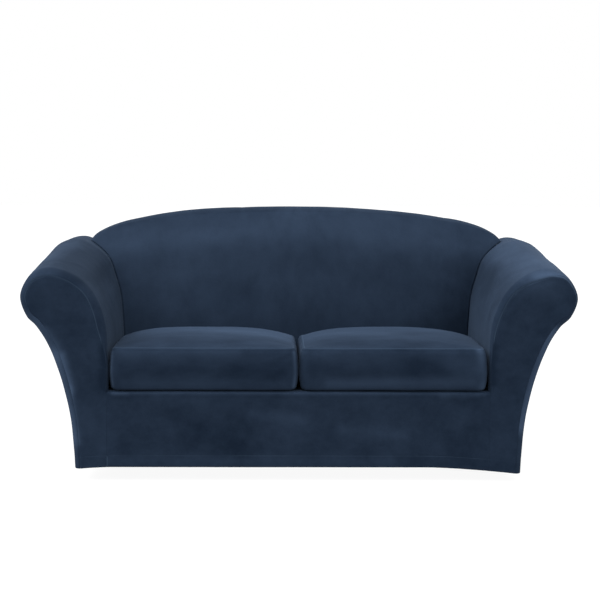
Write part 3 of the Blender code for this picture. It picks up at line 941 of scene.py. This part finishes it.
def velvet(name, colours, sizes, nap):
    """Stretch velvet: short pile that lies unevenly, with painted highlights along its seams, painted
    light and shade from its nap attribute, and a sheen where it turns away.

    nap says how closely the strokes in the pile follow each other along X, Y and Z.
    """
    material = bpy.data.materials.new(f"velvet {name}")
    material.use_nodes = True
    tree = material.node_tree
    shader = tree.nodes["Principled BSDF"]
    place = object_place(tree)
    cloth = add_node(tree, "ShaderNodeUVMap", {"uv_map": "cloth"}, {})
    brushed = add_node(tree, "ShaderNodeMapping", {}, {"Vector": place, "Scale": nap})
    places = {"patches": place, "strokes": brushed, "scuffs": brushed, "clumps": place, "pile": cloth}
    noises = {noise_name: speckle(tree, at, noise_name) for noise_name, at in places.items()}

    share = pile_tone_and_painted_light(tree, noises)
    thread, channel = hem_stitches(tree, cloth, place, sizes)
    # painted highlight along the seams that show as a line
    seam = hump(on_cloth(tree, "line"), SEAM_PLACE, SEAM_WIDTH)
    pale = seam * SEAM_HIGHLIGHT + thread * THREAD_PALENESS + channel * CHANNEL_PALENESS
    pile_colour = mixed(tree, share, (*colours.pile_deep, 1), (*colours.pile_lit, 1))
    colour = mixed(tree, pale.clipped(), pile_colour, (*colours.seam_highlight_and_thread, 1))
    tree.links.new(colour.socket, shader.inputs["Base Color"])
    tree.links.new((MATT_PILE - share * LAIN_GLOSS).socket, shader.inputs["Roughness"])
    shader.inputs["Specular IOR Level"].default_value = SPECULAR
    shader.inputs["Sheen Weight"].default_value = colours.sheen
    shader.inputs["Sheen Roughness"].default_value = SHEEN_ROUGHNESS
    shader.inputs["Sheen Tint"].default_value = (*colours.sheen_tint, 1)

    height = (noises["patches"] - 0.5) * PATCH_HEIGHT + (noises["clumps"] - 0.5) * CLUMP_HEIGHT
    height = height + noises["pile"] * PILE_HEIGHT
    height = height + thread * THREAD_HEIGHT - channel * CHANNEL_DEPTH
    bump = add_node(tree, "ShaderNodeBump", {}, {"Strength": 1.0, "Distance": 1.0, "Height": height})
    tree.links.new(bump.socket, shader.inputs["Normal"])
    return material


# ---- settings in the sidebar ----------------------------------------------------------------


class SlipcoverSizes(PropertyGroup):
    """Sizes of the cloth that don't change the sofa's outline."""

    cloth: FloatProperty(
        name="Cloth", description="Thickness of the velvet", default=0.002, min=0.001, max=0.003,
        unit="LENGTH", subtype="DISTANCE")
    seam_dip: FloatProperty(
        name="Seam dip", description="How far a seam draws the cloth in", default=0.0012,
        min=0, max=0.004, unit="LENGTH", subtype="DISTANCE")
    seam_rim: FloatProperty(
        name="Seam rim", description="How far the cloth stands up beside a seam", default=0.0005,
        min=0, max=0.003, unit="LENGTH", subtype="DISTANCE")
    unevenness: FloatProperty(
        name="Unevenness", description="How far the stretched cloth rises and sinks over the padding",
        default=0.0018, min=0, max=0.006, unit="LENGTH", subtype="DISTANCE")
    hem_band: FloatProperty(
        name="Hem band", description="Height of the stitch line above the hem", default=0.036,
        min=0.01, max=0.08, unit="LENGTH", subtype="DISTANCE")
    gathers: FloatProperty(
        name="Gathers", description="How far the small gathers along the hem stand out",
        default=0.0012, min=0, max=0.004, unit="LENGTH", subtype="DISTANCE")
    allowance: FloatProperty(
        name="Seam allowance", description="Width of the cloth tucked in behind a seam", default=0.007,
        min=0.002, max=0.02, unit="LENGTH", subtype="DISTANCE")
    stitch: FloatProperty(
        name="Stitch", description="Length of a hem stitch", default=0.004, min=0.001, max=0.02,
        unit="LENGTH", subtype="DISTANCE")


class SlipcoverColours(PropertyGroup):
    """Colours of the velvet."""

    # Random tone and the painted light and shade run from the deep colour to the lit one.
    pile_deep: FloatVectorProperty(
        name="Deep pile", description="Colour where the pile stands towards the viewer",
        default=(0.0050, 0.0095, 0.0185), min=0, max=1, size=3, subtype="COLOR")
    pile_lit: FloatVectorProperty(
        name="Lit pile", description="Colour where the pile lies over",
        default=(0.0300, 0.0480, 0.0820), min=0, max=1, size=3, subtype="COLOR")
    # paler colour of the painted highlight along seams, and of the hem's thread and stitch channel
    seam_highlight_and_thread: FloatVectorProperty(
        name="Seam line", description="Colour of the pile that opens at a seam",
        default=(0.036, 0.058, 0.090), min=0, max=1, size=3, subtype="COLOR")
    sheen_tint: FloatVectorProperty(
        name="Sheen tint", description="Colour of the pile's tips, seen from the side",
        default=(0.27, 0.37, 0.53), min=0, max=1, size=3, subtype="COLOR")
    sheen: FloatProperty(
        name="Sheen", description="How much the pile's tips shine where the cloth turns away",
        default=0.10, min=0, max=1, subtype="FACTOR")


class SlipcoverStudio(PropertyGroup):
    """The studio's lights and floor."""

    left: FloatProperty(
        name="Left light", description="Strength of the soft light from the left", default=2.9, min=0)
    above: FloatProperty(
        name="Light above", description="Strength of the soft light above, a little to the left",
        default=3.0, min=0)
    right: FloatProperty(
        name="Right light", description="Strength of the soft light in front on the right",
        default=2.1, min=0)
    sky: FloatProperty(
        name="Surroundings", description="Brightness of the white surroundings", default=1.0, min=0)
    glow: FloatProperty(
        name="Floor glow", description="Brightness of the lit floor itself", default=0.93, min=0)
    floor: FloatVectorProperty(
        name="Floor", description="Colour of the studio's floor", default=(0.08, 0.08, 0.08),
        min=0, max=1, size=3, subtype="COLOR")


# ---- the studio's places, seen from the sofa's middle ----------------------------------------

LIGHT_FROM = {"left": (-1.0, 0.1, 0.9), "above": (-0.7, -0.1, 1.2), "right": (1.0, -1.0, 1.5)}
LIGHT_WIDTH = 50  # degrees across, which keeps the shadows soft
LIGHT_DISTANCE = 3
WHITE = (1, 1, 1, 1)
FLOOR_SIZE = 60
FLOOR_GRAIN = 1.03  # how much paler the floor is in places
CAMERA_PLACE = (-0.083, -5.3, 1.04)
CAMERA_PAN = -0.93  # degrees to the left
CAMERA_DIP = 4.86  # degrees below level
CAMERA_ROLL = 0.25
LENS = 99.54
SENSOR = 36

# ---- the pieces -----------------------------------------------------------------------------


class SLIPCOVER_OT_arms(Operator):
    """Sew the two arm panels, from the seat over the rolls to the hem"""

    bl_idname = "slipcover.arms"
    bl_label = "Arms"

    def execute(self, context):
        sizes, colours = context.scene.slipcover_sizes, context.scene.slipcover_colours
        for name, side in (("arm_left", -1), ("arm_right", 1)):
            columns = arm_columns(side)
            cloth = woven(columns)
            if side > 0:
                cloth.flip()
            self.measure(cloth, columns)
            shape_cloth(cloth, name, seed=side + 3, sizes=sizes)
            count = len(columns[-1])
            start = len(cloth.points) - count
            turn_up(cloth, range(start, start + count), sizes)
            material = velvet(name, colours, sizes, nap=(1.6, 0.5, 1.0))
            finish_cloth(cloth, name, material=material, sizes=sizes)
        return {"FINISHED"}

    def measure(self, cloth, columns):
        """Distances to the seams and the hem along the cloth."""
        corner = int(np.searchsorted(ARM_COLUMNS, SEAM_STATION))
        over = self.run_across(columns[corner:])
        climb = self.run_across([column[: FACE_ROW + 1] for column in columns])
        comes, goes = ((ARM_COLUMNS - at) / fade for at, fade in zip(ARM_LINE, ARM_LINE_FADES))
        no_line = LINE_OFF * (1 - ease(comes) * (1 - ease(goes)))
        start = 0
        for n, column in enumerate(columns):
            along = run_length(column)
            to_end = along[-1] - along
            here = slice(start, start + len(column))
            seam = np.minimum(along, to_end)
            line = along
            if n >= corner:
                behind = np.arange(len(column)) > FACE_ROW
                seam = np.where(behind, np.minimum(seam, over[n - corner]), seam)
                line = np.minimum(line, to_end)
                cloth.hem[here] = over[-1] - over[n - corner]
            seam[: FACE_ROW + 1] = np.minimum(seam[: FACE_ROW + 1], climb[n])
            cloth.seam[here] = seam
            cloth.line[here] = line + no_line[n]
            cloth.flat[here, 0] = along
            cloth.flat[here, 1] = climb[-1, 0] - climb[n, 0]
            start += len(column)

    def run_across(self, columns):
        """Distance walked from the first of the columns to each of the others, row by row."""
        return run_length(np.array(columns).swapaxes(0, 1)).swapaxes(0, 1)


class SLIPCOVER_OT_facings(Operator):
    """Sew the panels on the fronts of the arms"""

    bl_idname = "slipcover.facings"
    bl_label = "Arm facings"

    def execute(self, context):
        sizes, colours = context.scene.slipcover_sizes, context.scene.slipcover_colours
        for name, side in (("arm_facing_left", -1), ("arm_facing_right", 1)):
            seam, inner, hem = self.edges(side)
            outline = np.vstack((hem[:-1], seam[:-1], inner[:-1]))
            if side < 0:
                outline = outline[::-1]
            plane, faces = filled(outline, FACING_NET)
            cloth = Cloth(np.stack((plane[:, 0], np.zeros(len(plane)), plane[:, 1]), axis=1), faces)
            cloth.flat = plane.copy()
            to_seam = distance_to_line(plane, seam)
            to_inner = distance_to_line(plane, inner)
            cloth.hem = plane[:, 1] - hem_height(plane[:, 0], 0.0)
            cloth.seam, cloth.join = to_seam, to_inner
            edges = zip((to_seam, to_inner, cloth.hem), FACING_SLOPES)
            padded_out = np.prod([ease(distance / slope) for distance, slope in edges], axis=0)
            cloth.points[:, 1] -= FACING_PADDING * padded_out
            shape_cloth(cloth, name, seed=12, sizes=sizes)
            ends = len(hem) - 1
            turn_up(cloth, self.run_of(side, 0, ends, len(outline)), sizes)
            tuck_under(cloth, self.run_of(side, ends, len(outline), len(outline)), sizes)
            material = velvet(name, colours, sizes, nap=(1.0, 1.0, 1.2))
            finish_cloth(cloth, name, material=material, sizes=sizes)
        return {"FINISHED"}

    def run_of(self, side, first, last, count):
        """Numbers of the outline's points from first to last, whichever way round it goes."""
        return [k % count if side > 0 else (count - 1 - k) % count for k in range(first, last + 1)]

    def edges(self, side):
        """The facing's seam with the arm, its seam with the rail, and its hem, in x and z."""
        t = ARM_COLUMNS
        turned = turn_width(side, t) + SEAM_GAP
        row = arm_row(side, t, 0.0, turned)[:, (0, 2)]
        seam = row[::-1]
        inner_x = side * (OPENING + SEAM_GAP / 2)
        inner_z = steps(row[0][1], float(hem_height(inner_x, 0.0)), FACING_SIDE_STEPS)
        inner = np.stack((np.full(len(inner_z), inner_x), inner_z), axis=1)
        hem_x = steps(inner_x, seam[0][0], FACING_HEM_STEPS)
        hem = np.stack((hem_x, hem_height(hem_x, 0.0)), axis=1)
        seam[0] = hem[-1]
        inner[0] = seam[-1]
        return seam, inner, hem


class SLIPCOVER_OT_rail(Operator):
    """Sew the front rail, turned over the seat's edge to its seam with the deck"""

    bl_idname = "slipcover.rail"
    bl_label = "Front rail"

    def execute(self, context):
        sizes, colours = context.scene.slipcover_sizes, context.scene.slipcover_colours
        half = OPENING - SEAM_GAP / 2
        ends = half - np.array(RAIL_END_COLUMNS)
        between = steps(RAIL_MARGIN - half, half - RAIL_MARGIN, RAIL_STEPS)
        columns = [self.column(x) for x in np.unique(np.concatenate((-ends, between, ends)))]
        cloth = woven(columns)
        cloth.flip()
        grid = np.array(columns)
        along = run_length(grid)
        cloth.seam = (along[:, -1:] - along).ravel()
        cloth.join = half - np.abs(grid[:, :, 0]).ravel()
        cloth.hem = along.ravel()
        from_left = grid[:, :, 0].ravel() + half
        cloth.line = from_left + LINE_OFF * ease((cloth.hem - sizes.hem_band) / LINE_END)
        cloth.flat = np.stack((grid[:, :, 0], along), axis=-1).reshape(-1, 2)
        shape_cloth(cloth, "front_rail", seed=12, sizes=sizes)
        count = len(columns[0])
        sewn = range(count - 1, count * len(columns), count)
        turn_up(cloth, range(0, count * len(columns), count), sizes)
        tuck_under(cloth, sewn, sizes)
        material = velvet("front_rail", colours, sizes, nap=(1.0, 1.0, 1.2))
        finish_cloth(cloth, "front_rail", material=material, sizes=sizes)
        return {"FINISHED"}

    def column(self, x):
        """The rail's points at one place, from the hem up and over onto the deck."""
        front, turn, top = RAIL_ROWS
        low = float(hem_height(x, 0.0))
        points = [(x, 0.0, z) for z in low + (DECK - RAIL_ROUND - low) * steps(0, 1, front)]
        for angle in steps(0, math.pi / 2, turn)[1:]:
            y = RAIL_ROUND * (1 - math.cos(angle))
            points.append((x, y, DECK - RAIL_ROUND * (1 - math.sin(angle))))
        return points + [(x, y, DECK) for y in steps(RAIL_ROUND, RAIL_LIP - SEAM_GAP, top)[1:]]


class SLIPCOVER_OT_deck(Operator):
    """Sew the seat deck that lies under the cushions"""

    bl_idname = "slipcover.deck"
    bl_label = "Seat deck"

    def execute(self, context):
        sizes, colours = context.scene.slipcover_sizes, context.scene.slipcover_colours
        half = OPENING - SEAM_GAP
        rear = BACK_STATIONS[0][1] - SEAM_GAP
        corners = [(-half, RAIL_LIP), (half, RAIL_LIP), (half, rear), (-half, rear)]
        next_corners = corners[1:] + corners[:1]
        sides = [steps(a, b, DECK_SIDE_STEPS)[:-1] for a, b in zip(corners, next_corners)]
        outline = np.vstack(sides)
        plane, faces = filled(outline, DECK_NET)
        cloth = Cloth(np.column_stack((plane, np.full(len(plane), DECK))), faces)
        cloth.flat = plane.copy()
        cloth.seam = distance_to_line(plane, np.vstack((outline, outline[:1])))
        shape_cloth(cloth, "seat_deck", seed=15, sizes=sizes)
        mid_front = len(sides[0]) // 2 + 1
        round_it = [k % len(outline) for k in range(mid_front, mid_front + len(outline) + 1)]
        tuck_under(cloth, round_it, sizes)
        material = velvet("seat_deck", colours, sizes, nap=(1.0, 1.0, 1.0))
        finish_cloth(cloth, "seat_deck", material=material, sizes=sizes)
        return {"FINISHED"}


class SLIPCOVER_OT_back(Operator):
    """Sew the inside back over its arched top, and the outside back with its hem"""

    bl_idname = "slipcover.back"
    bl_label = "Back"

    def execute(self, context):
        sizes, colours = context.scene.slipcover_sizes, context.scene.slipcover_colours
        rows = back_surface()
        cloth = woven(list(rows))
        across = run_length(rows)
        along = run_length(rows.swapaxes(0, 1)).swapaxes(0, 1)
        to_right, to_rear = across[:, -1:] - across, along[-1:] - along
        cloth.seam = np.minimum.reduce((across, to_right, to_rear, along)).ravel()
        cloth.line = to_rear.ravel()
        cloth.flat = np.stack((across - across[:, -1:] / 2, along), axis=-1).reshape(-1, 2)
        start, reach = CREST_TURN
        # painted shade on the inside back's top, darker as its cloth faces up
        cloth.nap -= CREST_PAINTED_SHADE * ease((cloth.normals()[:, 2] - start) / reach)
        shape_cloth(cloth, "inside_back", seed=20, sizes=sizes)
        material = velvet("inside_back", colours, sizes, nap=(1.0, 1.0, 0.6))
        finish_cloth(cloth, "inside_back", material=material, sizes=sizes)

        outline, seam = self.rear_outline(rows[-1])
        plane, faces = filled(outline, REAR_NET)
        rear = Cloth(np.stack((plane[:, 0], np.full(len(plane), DEPTH), plane[:, 1]), axis=1), faces)
        rear.flat = plane.copy()
        rear.flip()
        rear.seam = distance_to_line(plane, seam)
        rear.hem = plane[:, 1] - HEM
        shape_cloth(rear, "outside_back", seed=24, sizes=sizes)
        hem_points = [k for k in range(len(outline)) if abs(rear.hem[k]) < MERGE]
        turn_up(rear, sorted(hem_points, key=lambda k: outline[k][0]), sizes)
        material = velvet("outside_back", colours, sizes, nap=(1.2, 1.0, 0.7))
        finish_cloth(rear, "outside_back", material=material, sizes=sizes)
        return {"FINISHED"}

    def rear_outline(self, arch_row):
        """The outside back's outline in x and z, and the sewn part of it."""
        arch = arch_row[:, (0, 2)]
        t = ARM_COLUMNS[ARM_COLUMNS > SEAM_STATION]
        right = arm_row(1, t, DEPTH, EDGE)[:, (0, 2)]
        right[-1][1] = HEM
        left = right * (-1, 1)
        seam = np.vstack((left[::-1], arch, right))
        hem = steps(right[-1], left[-1], REAR_HEM_STEPS)[1:-1]
        outline = np.vstack((seam, hem))[::-1]
        inset = moved_in(outline, 2 * SEAM_GAP)
        inset[outline[:, 1] < HEM + MERGE, 1] = HEM
        return inset, seam


class SLIPCOVER_OT_cushions(Operator):
    """Sew the two seat-cushion covers, each a boxing band and a crowned top panel"""

    bl_idname = "slipcover.cushions"
    bl_label = "Cushion covers"

    def execute(self, context):
        sizes, colours = context.scene.slipcover_sizes, context.scene.slipcover_colours
        for word, side in (("left", -1), ("right", 1)):
            material = velvet(f"cushion_{word}", colours, sizes, nap=(0.45, 1.4, 1.0))
            self.band(word, side, material, sizes)
            self.top(word, side, material, sizes)
        return {"FINISHED"}

    def band(self, word, side, material, sizes):
        """The boxing band, with its lower edge turned under and gathered on elastic."""
        name = f"cushion_band_{word}"
        last = len(BAND_LINES) - 1
        beside_seam = last - np.array(BAND_SEAM_ROWS)
        t = np.unique(np.concatenate((steps(0, last, BAND_ROWS * last), beside_seam)))
        profile = on_curve([row[1:] for row in BAND_LINES], t)
        rows = []
        for offset, z in profile:
            outline = cushion_outline(side, offset)
            raised = (z - BAND_LINES[0][2]) / (BAND_LINES[-1][2] - BAND_LINES[0][2])
            rows.append(np.column_stack((outline, z - raised * corner_sag(side, outline))))
        cloth = woven(rows, closed=True)
        grid = np.array(rows)
        along = run_length(grid.swapaxes(0, 1)).swapaxes(0, 1)
        cloth.seam = (along[-1:] - along).ravel()
        cloth.flat = np.stack((run_length(grid), along), axis=-1).reshape(-1, 2)
        shape_cloth(cloth, name, seed=side + 30, sizes=sizes)
        finish_cloth(cloth, name, material=material, sizes=sizes)

    def top(self, word, side, material, sizes):
        """The crowned top panel."""
        name = f"cushion_top_{word}"
        seam_z = BAND_LINES[-1][2]
        outline = cushion_outline(side, BAND_LINES[-1][1] - 2 * SEAM_GAP)
        plane, faces = filled(outline, TOP_NET)
        low, high = outline.min(axis=0), outline.max(axis=0)
        place = 2 * (plane - low) / (high - low) - 1
        lift = CUSHION_CROWN * np.prod(1 - np.minimum(np.abs(place), 1) ** CROWN_FLATNESS, axis=1)
        lift -= corner_sag(side, plane)
        cloth = Cloth(np.column_stack((plane, seam_z + lift)), faces)
        cloth.flat = plane.copy()
        cloth.seam = distance_to_line(plane, np.vstack((outline, outline[:1])))
        cloth.line = cloth.seam.copy()
        shape_cloth(cloth, name, seed=side + 40, sizes=sizes)
        finish_cloth(cloth, name, material=material, sizes=sizes)


class SLIPCOVER_OT_studio(Operator):
    """Lay the pale floor and set up the soft lights and the camera"""

    bl_idname = "slipcover.studio"
    bl_label = "Studio"

    def execute(self, context):
        studio = context.scene.slipcover_studio
        self.floor(studio)
        self.surroundings(context, studio)
        for name, direction in LIGHT_FROM.items():
            self.soft_light(name, getattr(studio, name), direction)
        self.camera(context)
        context.scene.view_settings.view_transform = "Standard"
        return {"FINISHED"}

    def floor(self, studio):
        """A wide pale floor at the height that the sofa stands on."""
        bpy.ops.object.select_all(action="DESELECT")
        bpy.ops.mesh.primitive_plane_add(size=FLOOR_SIZE, location=(0, 0, FLOOR[2]))
        floor = bpy.context.active_object
        floor.name = "studio_floor"
        bpy.ops.object.transform_apply(location=True, rotation=True, scale=True)
        material = bpy.data.materials.new("pale floor")
        material.use_nodes = True
        tree = material.node_tree
        shader = tree.nodes["Principled BSDF"]
        grain = speckle(tree, object_place(tree), "floor")
        pale = tuple(min(1.0, FLOOR_GRAIN * channel) for channel in studio.floor)
        colour = mixed(tree, grain, (*studio.floor, 1), (*pale, 1))
        tree.links.new(colour.socket, shader.inputs["Base Color"])
        shader.inputs["Roughness"].default_value = 0.9
        shader.inputs["Specular IOR Level"].default_value = 0.0
        shader.inputs["Emission Color"].default_value = WHITE
        shader.inputs["Emission Strength"].default_value = studio.glow
        floor.data.materials.append(material)

    def surroundings(self, context, studio):
        """White light from all round."""
        world = bpy.data.worlds.new("white surroundings")
        context.scene.world = world
        world.use_nodes = True
        background = world.node_tree.nodes["Background"]
        background.inputs["Color"].default_value = WHITE
        background.inputs["Strength"].default_value = studio.sky

    def soft_light(self, name, strength, direction):
        """A wide, soft light that shines on the sofa from a direction."""
        light = bpy.data.lights.new(name, "SUN")
        light.energy = strength
        light.angle = math.radians(LIGHT_WIDTH)
        lamp = bpy.data.objects.new(name, light)
        bpy.context.scene.collection.objects.link(lamp)
        away = Vector(direction).normalized()
        turn = away.to_track_quat("Z", "Y").to_matrix().to_4x4()
        lamp.matrix_world = Matrix.Translation(LIGHT_DISTANCE * away) @ turn

    def camera(self, context):
        """The camera, a little left of the middle and well back, looking slightly down."""
        lens = bpy.data.cameras.new("camera")
        lens.lens = LENS
        lens.sensor_width = SENSOR
        camera = bpy.data.objects.new("camera", lens)
        context.scene.collection.objects.link(camera)
        place = Matrix.Translation(Vector(CAMERA_PLACE) + Vector(FLOOR))
        pan = Matrix.Rotation(math.radians(CAMERA_PAN), 4, "Z")
        tilt = Matrix.Rotation(math.radians(90 - CAMERA_DIP), 4, "X")
        roll = Matrix.Rotation(math.radians(CAMERA_ROLL), 4, "Z")
        camera.matrix_world = place @ pan @ tilt @ roll
        context.scene.camera = camera


class SLIPCOVER_PT_sidebar(Panel):
    """Settings and steps of the slipcover"""

    bl_label = "Slipcover"
    bl_idname = "SLIPCOVER_PT_sidebar"
    bl_space_type = "VIEW_3D"
    bl_region_type = "UI"
    bl_category = "Slipcover"

    def draw(self, context):
        """Lists the settings and a button for each step."""
        for title, group in (
            ("Sizes", context.scene.slipcover_sizes),
            ("Colours", context.scene.slipcover_colours),
            ("Studio", context.scene.slipcover_studio),
        ):
            box = self.layout.box()
            box.label(text=title)
            for setting in type(group).__annotations__:
                box.prop(group, setting)
        for step in STEPS:
            self.layout.operator(step.bl_idname)


GROUPS = {
    "slipcover_sizes": SlipcoverSizes,
    "slipcover_colours": SlipcoverColours,
    "slipcover_studio": SlipcoverStudio,
}
STEPS = (
    SLIPCOVER_OT_back,
    SLIPCOVER_OT_arms,
    SLIPCOVER_OT_facings,
    SLIPCOVER_OT_rail,
    SLIPCOVER_OT_deck,
    SLIPCOVER_OT_cushions,
    SLIPCOVER_OT_studio,
)


def register():
    """Adds the settings, the steps and the sidebar to Blender."""
    for group in (*GROUPS.values(), *STEPS, SLIPCOVER_PT_sidebar):
        bpy.utils.register_class(group)
    for name, group in GROUPS.items():
        setattr(bpy.types.Scene, name, PointerProperty(type=group))


def unregister():
    """Takes them out again."""
    for name in GROUPS:
        delattr(bpy.types.Scene, name)
    for group in reversed((*GROUPS.values(), *STEPS, SLIPCOVER_PT_sidebar)):
        bpy.utils.unregister_class(group)


def main():
    """Builds every piece in order."""
    register()
    bpy.ops.slipcover.back()
    bpy.ops.slipcover.arms()
    bpy.ops.slipcover.facings()
    bpy.ops.slipcover.rail()
    bpy.ops.slipcover.deck()
    bpy.ops.slipcover.cushions()
    bpy.ops.slipcover.studio()


if __name__ == "__main__":
    main()
